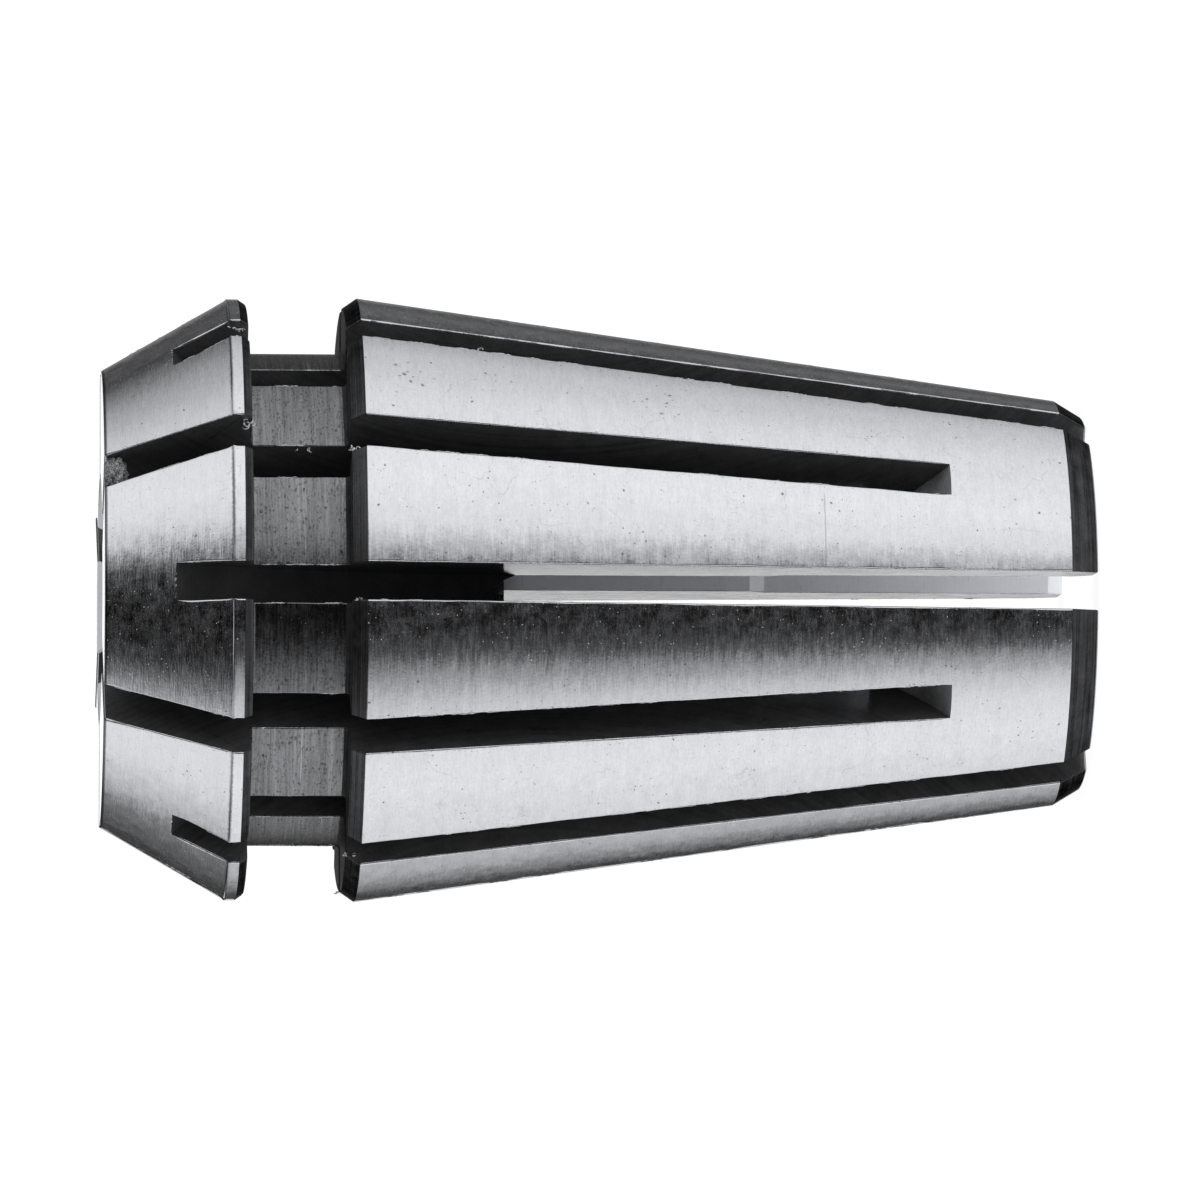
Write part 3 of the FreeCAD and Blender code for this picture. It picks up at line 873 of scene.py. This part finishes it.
def bore_steel():
    k = Kit("bore_steel")
    fine = k.streak(6.0, 20.0, 51.0, 2.0)
    cloud = k.noise(k.P, 1.8, 4.0, 0.6)
    micro = k.noise(k.P, 11.0, 2.0, 0.6)
    # painted light and shade: the bore is near white as painted light, and from about 16 mm to just short of the nose
    # it is darkened as painted shade
    base = k.add(0.95, (fine, 0.5, 0.12), (cloud, 0.5, 0.08), (micro, 0.5, 0.05))
    forward_bore_shade = k.math("MULTIPLY", k.step(k.z, 15.2, 16.4), k.step(k.z, L - 1.3, L - 0.7, 1.0, 0.0))
    base = k.math("MULTIPLY", base, k.math("MULTIPLY_ADD", forward_bore_shade, -0.60, 1.0))
    k.grey(k.math("MINIMUM", k.math("MAXIMUM", base, 0.02), 0.96))
    k.p.inputs["Metallic"].default_value = 0.08
    k.put(k.p.inputs["Roughness"], k.add(0.32, (fine, 0.5, 0.2), (cloud, 0.5, 0.14)))
    k.bump(k.add(0.0, (fine, 0.5, 1.0), (micro, 0.5, 0.6)), 0.0030)
    return k.m


mat_ground = ground_steel()
mat_faced = faced_steel("faced_steel", 0.46, 0.27, 0.0035)
mat_nose = faced_steel("nose_face_steel", 0.72, 0.15, 0.0008)
mat_slot = sawn_steel("slot_wall_steel", 0.060, 0.0, 0.16)
mat_bore = bore_steel()
mat_groove = groove_steel()
mat_chamfer = chamfer_steel()
mat_side = side_steel()
# two copies of the run-out floor: a lighter one as painted light for the nose slots, a near-black one as painted shade
# for the tail slots
mat_runout_painted_light = sawn_steel("slot_runout_painted_light", 0.33, 0.35, 0.50)
mat_runout_painted_shade = sawn_steel("runout_painted_shade", 0.034, 0.0, 0.45)
mat_runout_painted_shade.node_tree.nodes["Principled BSDF"].inputs["Specular IOR Level"].default_value = 0.15

collet = make_collet()
for m in (mat_ground, mat_faced, mat_slot, mat_bore, mat_groove, mat_chamfer, mat_runout_painted_light, mat_nose, mat_side, mat_runout_painted_shade):
    collet.data.materials.append(m)
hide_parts("collet")
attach(collet, "root")

# --------------------------------------------------------------------------
# Burrs along the slot lips, and the swarf and chips caught in the slots
# --------------------------------------------------------------------------
class Tubes:
    def __init__(self):
        self.verts, self.faces = [], []

    def add(self, pts, radii, sides=5):
        """A thin closed tube through pts."""
        n0 = len(self.verts)
        n = len(pts)
        ref = Vector((0.31, 0.52, 0.79))
        for i in range(n):
            d = (pts[min(n - 1, i + 1)] - pts[max(0, i - 1)]).normalized()
            u = d.cross(ref).normalized()
            v = d.cross(u)
            for k in range(sides):
                t = 2 * math.pi * k / sides
                self.verts.append((pts[i] + (u * math.cos(t) + v * math.sin(t)) * radii[i]) * MM)
        for i in range(n - 1):
            for k in range(sides):
                q = (k + 1) % sides
                self.faces.append((n0 + i * sides + k, n0 + (i + 1) * sides + k, n0 + (i + 1) * sides + q, n0 + i * sides + q))
        self.faces.append(tuple(n0 + k for k in range(sides)))
        self.faces.append(tuple(n0 + (n - 1) * sides + k for k in reversed(range(sides))))

    def build(self, name):
        me = bpy.data.meshes.new(name)
        me.from_pydata(self.verts, [], self.faces)
        me.polygons.foreach_set("use_smooth", [True] * len(self.faces))
        me.update()
        bm = bmesh.new()
        bm.from_mesh(me)
        bmesh.ops.recalc_face_normals(bm, faces=bm.faces)
        bm.to_mesh(me)
        bm.free()
        ob = bpy.data.objects.new(name, me)
        scene.collection.objects.link(ob)
        return ob


def outer_r(z):
    """Radius of the outside at height z."""
    if z < TC_L:
        return TF_R + (TC_R - TF_R) * z / TC_L
    if z <= SH_Z:
        return r_on_outer(z)
    if z <= GW_Z:
        return SH_R + (8.16 - SH_R) * (z - SH_Z) / (GW_Z - SH_Z)
    if z < FL_Z:
        return GR_R
    if z < FL_Z + 0.22:
        return 8.26 + 0.15 * (z - FL_Z) / 0.22
    if z < L - 3.46:
        return 8.41
    return r_on_outer(z)


def slot_point(az, lat, r, z):
    """az in degrees from the front, lat sideways in the slot, r from the axis at that lat."""
    a_ = math.radians(az)
    d = math.sqrt(max(0.0, r * r - lat * lat))
    return Vector((math.sin(a_) * d + math.cos(a_) * lat, -math.cos(a_) * d + math.sin(a_) * lat, z))


burrs = Tubes()
rnd = random.Random(41)
STRETCHES = {0: [(0.95, SH_Z - 0.25), (GW_Z + 0.2, FL_Z - 0.2), (FL_Z + 0.3, ZT_OUT[-1] - 0.25)],
             1: [(ZN_OUT[-1] + 0.3, SH_Z - 0.25), (GW_Z + 0.2, FL_Z - 0.2), (FL_Z + 0.3, L - 0.15)]}
for q in range(12):
    az = 30.0 * q
    for side in (1, -1):
        for z0, z1 in STRETCHES[q % 2]:
            z = z0
            while z < z1 - 0.1:
                run = min(z1 - z, rnd.uniform(0.10, 0.9))
                z_end = z + run
                if rnd.random() < 0.55 and run > 0.08:
                    steps = max(3, int(run / 0.045))
                    size = rnd.uniform(0.010, 0.024)
                    pts, rad = [], []
                    for k in range(steps + 1):
                        zz = z + run * k / steps
                        f = math.sqrt(max(0.0, math.sin(math.pi * k / steps)))
                        w = size * f * rnd.uniform(0.55, 1.25) + 0.002
                        lat = side * (HALF + 0.014 + rnd.uniform(-0.012, 0.012))
                        pts.append(slot_point(az, lat, outer_r(zz) - 0.018 + 0.010 * rnd.random(), zz))
                        rad.append(w)
                    burrs.add(pts, rad)
                z = z_end + rnd.uniform(0.02, 0.5)


# and across the long slots' ends on the nose cone, where the saw came out
rnd = random.Random(77)
for q in range(0, 12, 2):
    lat = -HALF - 0.03
    while lat < HALF - 0.05:
        run = min(HALF + 0.03 - lat, rnd.uniform(0.10, 0.34))
        steps = max(3, int(run / 0.035))
        size = rnd.uniform(0.010, 0.022)
        pts, rad = [], []
        for k in range(steps + 1):
            la = lat + run * k / steps
            zz = ZT_OUT[-1] + 0.016 + rnd.uniform(-0.014, 0.014)
            pts.append(slot_point(30.0 * q, la, outer_r(zz) - 0.018 + 0.010 * rnd.random(), zz))
            rad.append(size * math.sqrt(max(0.0, math.sin(math.pi * k / steps))) * rnd.uniform(0.5, 1.25) + 0.002)
        burrs.add(pts, rad)
        lat += run + rnd.uniform(0.01, 0.10)


def chips(tubes, az, lat, r, z, count, spread, size, seed):
    """Small curled chips hanging in a slot."""
    rn = random.Random(seed)
    for _ in range(count):
        l0 = lat + rn.uniform(-spread[0], spread[0])
        r0 = r + rn.uniform(-spread[1], spread[1])
        z0 = z + rn.uniform(-spread[2], spread[2])
        turn, tilt = rn.uniform(0, 6.28), rn.uniform(-0.7, 0.7)
        rad_c = rn.uniform(1.6, 4.0) * size
        arc = rn.uniform(1.6, 4.2)
        n = 9
        pts, rad = [], []
        for k in range(n):
            t = turn + arc * k / (n - 1)
            l1 = l0 + rad_c * math.cos(t)
            r1 = r0 + rad_c * math.sin(t) * math.sin(tilt) + rn.uniform(-0.2, 0.2) * size
            z1 = z0 + rad_c * math.sin(t) * math.cos(tilt)
            l1 = max(-HALF - 0.02, min(HALF + 0.02, l1))
            pts.append(slot_point(az, l1, r1, z1))
            rad.append(size * (0.35 + 0.65 * math.sin(math.pi * (k + 0.5) / n)) * rn.uniform(0.7, 1.2))
        tubes.add(pts, rad, 6)


# caught at the flange in the two upper slots, and at the shoulder
chips(burrs, 60, 0.34, 8.20, 23.86, 8, (0.12, 0.05, 0.20), 0.024, 3)
chips(burrs, 30, 0.40, 8.12, 23.55, 7, (0.08, 0.06, 0.14), 0.026, 5)
chips(burrs, 30, -0.47, 8.20, 20.72, 6, (0.05, 0.05, 0.14), 0.024, 8)
chips(burrs, 30, 0.42, 6.86, 22.1, 3, (0.05, 0.03, 0.3), 0.020, 9)
chips(burrs, 0, -0.50, 8.27, 20.62, 5, (0.04, 0.04, 0.1), 0.020, 11)
chips(burrs, -60, -0.42, 8.20, 20.7, 6, (0.06, 0.05, 0.2), 0.022, 13)
chips(burrs, -90, 0.40, 8.20, 20.7, 5, (0.06, 0.05, 0.2), 0.022, 17)
chips(burrs, 60, -0.45, 7.95, 17.2, 3, (0.05, 0.04, 0.5), 0.022, 19)


def swarf(name, az, lat, r, z, size, seed):
    """A packed lump of swarf in the mouth of a slot."""
    bm = bmesh.new()
    bmesh.ops.create_icosphere(bm, subdivisions=5, radius=1.0)
    for v in bm.verts:
        d = v.co.normalized()
        k1 = mnoise.noise(d * 2.3 + Vector((seed, 0, 0)))
        k2 = mnoise.noise(d * 6.1 + Vector((0, seed, 0)))
        k3 = mnoise.noise(d * 14.0 + Vector((0, 0, seed)))
        f = 1.0 + 0.30 * k1 + 0.20 * k2 + 0.12 * k3
        lat_ = max(-HALF + 0.004, min(HALF - 0.004, lat + d.x * f * size[0]))
        z_ = min(L - 0.012, z + d.z * f * size[2])
        v.co = slot_point(az, lat_, r + d.y * f * size[1], z_) * MM
    me = bpy.data.meshes.new(name)
    bmesh.ops.recalc_face_normals(bm, faces=bm.faces)
    bm.to_mesh(me)
    bm.free()
    me.polygons.foreach_set("use_smooth", [True] * len(me.polygons))
    ob = bpy.data.objects.new(name, me)
    scene.collection.objects.link(ob)
    return ob


def burr_steel():
    k = Kit("burr_steel")
    mott = k.noise(k.P, 16.0, 3.0, 0.6)
    k.grey(k.math("MAXIMUM", k.add(0.74, (mott, 0.5, 0.9)), 0.10, clamp=True))
    k.p.inputs["Metallic"].default_value = 0.9
    k.put(k.p.inputs["Roughness"], k.add(0.38, (mott, 0.5, 0.3)))
    k.bump(mott, 0.004)
    return k.m


def swarf_stuff():
    k = Kit("packed_swarf")
    coarse = k.noise(k.P, 5.0, 4.0, 0.7, 0.6)
    grain, _ = k.cells(k.warp(0.08, 12.0), 13.0, "DISTANCE_TO_EDGE")
    v = k.add(0.42, (coarse, 0.5, 1.9))
    v = k.math("MULTIPLY", k.math("MAXIMUM", v, 0.03), k.step(grain, 0.0, 0.20, 0.25, 1.0))
    k.grey(k.math("MINIMUM", v, 0.85))
    k.p.inputs["Metallic"].default_value = 0.35
    k.p.inputs["Roughness"].default_value = 0.55
    k.bump(k.add(0.0, (coarse, 0.5, 2.0), (grain, 0.0, 2.0)), 0.012)
    return k.m


edge_burrs = burrs.build("slot_edge_burrs")
edge_burrs.data.materials.append(burr_steel())
lump = swarf("slot_swarf", 30, 0.0, 6.12, 27.20, (0.56, 0.34, 0.34), 4.7)
lump.data.materials.append(swarf_stuff())
for ob in (edge_burrs, lump):
    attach(ob, "root")

# --------------------------------------------------------------------------
# Camera: a long lens level with the part, turned a quarter turn so that the
# nose is on the left of the picture
# --------------------------------------------------------------------------
AZ, EL, DIST, FPX, ROLL, ZC, UY = 3.80, 3.851, 308.65, 11000.7, 0.25, 13.473, -1.49
a, e = math.radians(AZ), math.radians(EL)
back = Vector((-math.sin(a) * math.cos(e), -math.cos(a) * math.cos(e), math.sin(e)))
fwd = -back
up0 = Vector((math.cos(a), -math.sin(a), 0.0))
right0 = fwd.cross(up0)
c, s = math.cos(math.radians(ROLL)), math.sin(math.radians(ROLL))
right = right0 * c + up0 * s
up = right.cross(fwd)
loc = Vector((0, 0, ZC)) + back * DIST - up * (UY * DIST / FPX)
cam_data = bpy.data.cameras.new("camera")
cam_data.sensor_width = 36.0
cam_data.lens = FPX / 1200.0 * 36.0
cam_data.clip_start = 0.01
cam_data.clip_end = 100.0
cam = bpy.data.objects.new("camera", cam_data)
scene.collection.objects.link(cam)
rot = Matrix((right, up, -fwd)).transposed().to_4x4()
cam.matrix_world = Matrix.Translation(loc * MM) @ rot
scene.camera = cam

# --------------------------------------------------------------------------
# Floor and light
# --------------------------------------------------------------------------
bpy.ops.mesh.primitive_plane_add(size=60.0, location=(0, 0, 0))
floor = bpy.context.object
floor.name = "floor"
mf = bpy.data.materials.new("floor_pale")
mf.use_nodes = True
pf = mf.node_tree.nodes["Principled BSDF"]
pf.inputs["Base Color"].default_value = (0.28, 0.28, 0.28, 1)
pf.inputs["Roughness"].default_value = 0.9
pf.inputs["Specular IOR Level"].default_value = 0.0
pf.inputs["Emission Color"].default_value = (1, 1, 1, 1)
pf.inputs["Emission Strength"].default_value = 0.93
floor.data.materials.append(mf)
floor.visible_glossy = False

world = bpy.data.worlds.new("studio")
scene.world = world
world.use_nodes = True
nt = world.node_tree
nt.nodes.clear()


def wnode(kind, **props):
    n = nt.nodes.new(kind)
    for k_, v_ in props.items():
        setattr(n, k_, v_)
    return n


def wmath(op, x, y=None, clamp=False):
    n = wnode("ShaderNodeMath", operation=op, use_clamp=clamp)
    for sock, v_ in zip(n.inputs, (x, y)):
        if isinstance(v_, bpy.types.NodeSocket):
            nt.links.new(v_, sock)
        elif v_ is not None:
            sock.default_value = v_
    return n.outputs[0]


def wramp(value, lo, hi, levels):
    """Soft light levels against an angle in degrees."""
    rng = wnode("ShaderNodeMapRange")
    rng.inputs["From Min"].default_value = math.radians(lo)
    rng.inputs["From Max"].default_value = math.radians(hi)
    nt.links.new(value, rng.inputs["Value"])
    ramp = wnode("ShaderNodeValToRGB")
    ramp.color_ramp.interpolation = "EASE"
    els = ramp.color_ramp.elements
    for k_, (deg, lev) in enumerate(levels):
        pos = (deg - lo) / (hi - lo)
        el_ = els[k_] if k_ < 2 else els.new(pos)
        el_.position = pos
        el_.color = (lev, lev, lev, 1)
    nt.links.new(rng.outputs[0], ramp.inputs[0])
    return ramp.outputs[0]


tc = wnode("ShaderNodeTexCoord")
sep = wnode("ShaderNodeSeparateXYZ")
nt.links.new(tc.outputs["Generated"], sep.inputs[0])
# azimuth round the part: 0 towards the front (-Y), positive towards +X
azim = wmath("ARCTAN2", sep.outputs["X"], wmath("MULTIPLY", sep.outputs["Y"], -1.0))
elev = wmath("ARCSINE", sep.outputs["Z"])

# a tent of white cloth with a dark gap at the camera, at the part's own height
LOW = [(-180, 1.25), (-176.5, 1.4), (-173.3, 0.03), (-160, 0.06), (-150, 0.22), (-134, 0.50), (-104, 0.86), (-80, 0.95), (-60, 0.88),
       (-46, 0.69), (-35, 0.36), (-25, 0.05), (-14, 0.006), (3, 0.006), (8, 0.08), (17, 0.55), (28, 0.92), (48, 1.0), (78, 0.90),
       (106, 0.68), (118, 0.50), (132, 0.06), (146, 0.13), (157, 0.07), (167, 0.22), (172, 0.25), (176.0, 1.4), (180, 1.25)]
# the same overhead
HIGH = [(-180, 0.04), (-165, 0.0), (-150, 0.0), (-136, 0.14), (-118, 0.62), (-100, 0.88), (-80, 0.92), (-67, 0.55), (-56, 0.15),
        (-42, 0.01), (-20, 0.0), (2, 0.0), (12, 0.02), (22, 0.18), (36, 0.80), (52, 0.95), (72, 0.92), (92, 0.72), (112, 0.44),
        (127, 0.19), (140, 0.02), (154, 0.0), (168, 0.20), (180, 0.10)]
low = wramp(azim, -180, 180, LOW)
high = wramp(azim, -180, 180, HIGH)
up_mix = wramp(elev, -90, 90, [(-90, 0.0), (2, 0.0), (30, 1.0), (90, 1.0)])
mixw = wnode("ShaderNodeMix", data_type="FLOAT")
nt.links.new(up_mix, mixw.inputs[0])
nt.links.new(low, mixw.inputs[2])
nt.links.new(high, mixw.inputs[3])
# below, the pale bench evens the light out; high behind the part, the tent is lit again
down_mix = wramp(elev, -90, 90, [(-90, 1.0), (-54, 1.0), (-30, 0.0), (90, 0.0)])
even = wnode("ShaderNodeMix", data_type="FLOAT")
nt.links.new(down_mix, even.inputs[0])
nt.links.new(mixw.outputs[0], even.inputs[2])
even.inputs[3].default_value = 0.60
behind = wmath("MULTIPLY", wramp(azim, -180, 180, [(-180, 0.85), (-135, 0.85), (-105, 0.0), (105, 0.0), (135, 0.85), (180, 0.85)]),
               wramp(elev, -90, 90, [(-90, 0.0), (36, 0.0), (50, 1.0), (90, 1.0)]))
lit = wmath("MAXIMUM", even.outputs[0], behind)
top = wramp(elev, -90, 90, [(-90, 0.0), (73, 0.0), (85, 0.70), (90, 0.70)])
level = wmath("MAXIMUM", lit, top)
# what the camera sees past the floor is plain and pale
lp = wnode("ShaderNodeLightPath")
seen = wnode("ShaderNodeMix", data_type="FLOAT")
nt.links.new(lp.outputs["Is Camera Ray"], seen.inputs[0])
nt.links.new(level, seen.inputs[2])
seen.inputs[3].default_value = 1.0
bg = wnode("ShaderNodeBackground")
nt.links.new(seen.outputs[0], bg.inputs["Color"])
bg.inputs["Strength"].default_value = 1.0
out = wnode("ShaderNodeOutputWorld")
nt.links.new(bg.outputs[0], out.inputs[0])

scene.view_settings.view_transform = "Standard"
scene.view_settings.look = "None"
